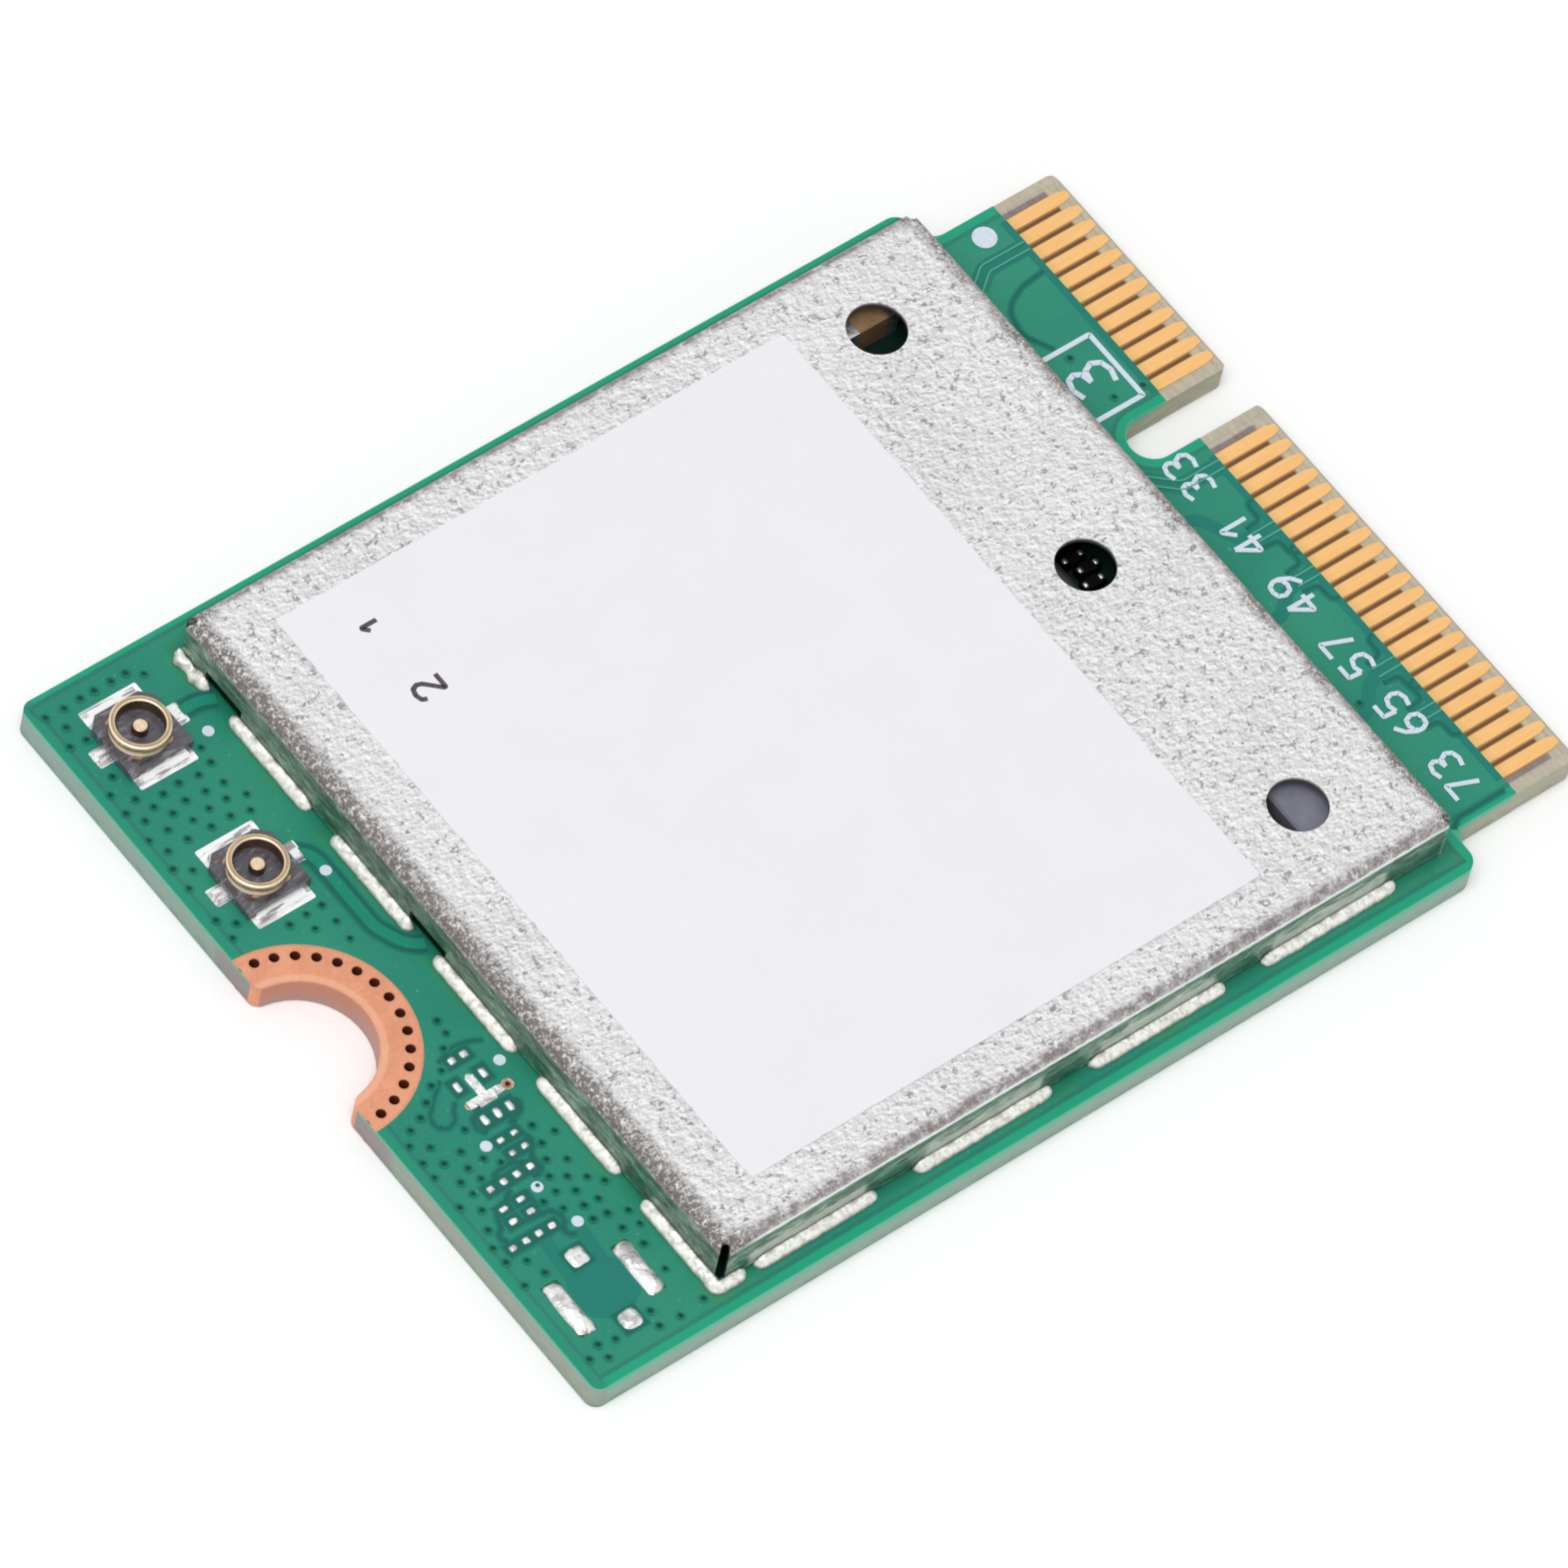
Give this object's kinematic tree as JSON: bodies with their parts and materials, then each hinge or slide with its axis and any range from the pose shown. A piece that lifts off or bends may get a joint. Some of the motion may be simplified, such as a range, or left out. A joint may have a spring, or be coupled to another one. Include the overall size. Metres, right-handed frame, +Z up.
{
  "type": "laptop wifi card",
  "caption": "Flat wireless edge card: green board with a keyed contact tongue, folded shield can with a blank label, push-on antenna receptacles and a half-round screw notch.",
  "frame": {"origin": "centre of the card's underside", "axes": "+X along the card towards the contact tongue, +Y across it towards the receptacles' side, +Z up out of the face with the shield"},
  "size_m": [0.03, 0.022, 0.0023],
  "materials": {
    "coated_laminate": "green coat on glass-fibre laminate",
    "contact_gold": "gold plate",
    "land_copper": "plated copper",
    "tinned_land": "tinned",
    "solder": "bright solder",
    "shield_metal": "matt tinned sheet",
    "label_paper": "blank matt label",
    "receptacle_plastic": "moulded",
    "receptacle_gold": "gold plate",
    "package_black": "moulded",
    "package_grey": "moulded",
    "ceramic_dark": "matt",
    "ceramic_light": "matt",
    "ceramic_tan": "matt",
    "lid_metal": "nickel plate"
  },
  "bodies": {
    "root": {"board": "coated_laminate", "contacts_top": "contact_gold", "contacts_bottom": "contact_gold", "screw_land": "land_copper", "bare_lands": "tinned_land", "test_lands": "tinned_land", "receptacle_lands": "tinned_land", "shield_can": "shield_metal", "shield_solder": "solder", "label": "label_paper", "receptacle_1_housing": "receptacle_plastic", "receptacle_1_shell": "receptacle_gold", "receptacle_1_contact": "receptacle_gold", "receptacle_2_housing": "receptacle_plastic", "receptacle_2_shell": "receptacle_gold", "receptacle_2_contact": "receptacle_gold", "radio_chip": "package_black", "front_end_module_1": "package_black", "front_end_module_2": "package_black", "power_chip": "package_grey", "memory_chip": "package_black", "crystal_base": "ceramic_dark", "crystal_lid": "lid_metal", "power_inductor_1": "ceramic_dark", "power_inductor_2": "ceramic_dark", "power_inductor_3": "ceramic_dark", "band_filter_1": "ceramic_light", "band_filter_2": "ceramic_light", "antenna_switch_1": "package_black", "antenna_switch_2": "package_black", "capacitor_bodies": "ceramic_tan", "capacitor_terminals": "solder", "resistor_bodies": "ceramic_dark", "resistor_terminals": "solder"}
  },
  "joints": []
}
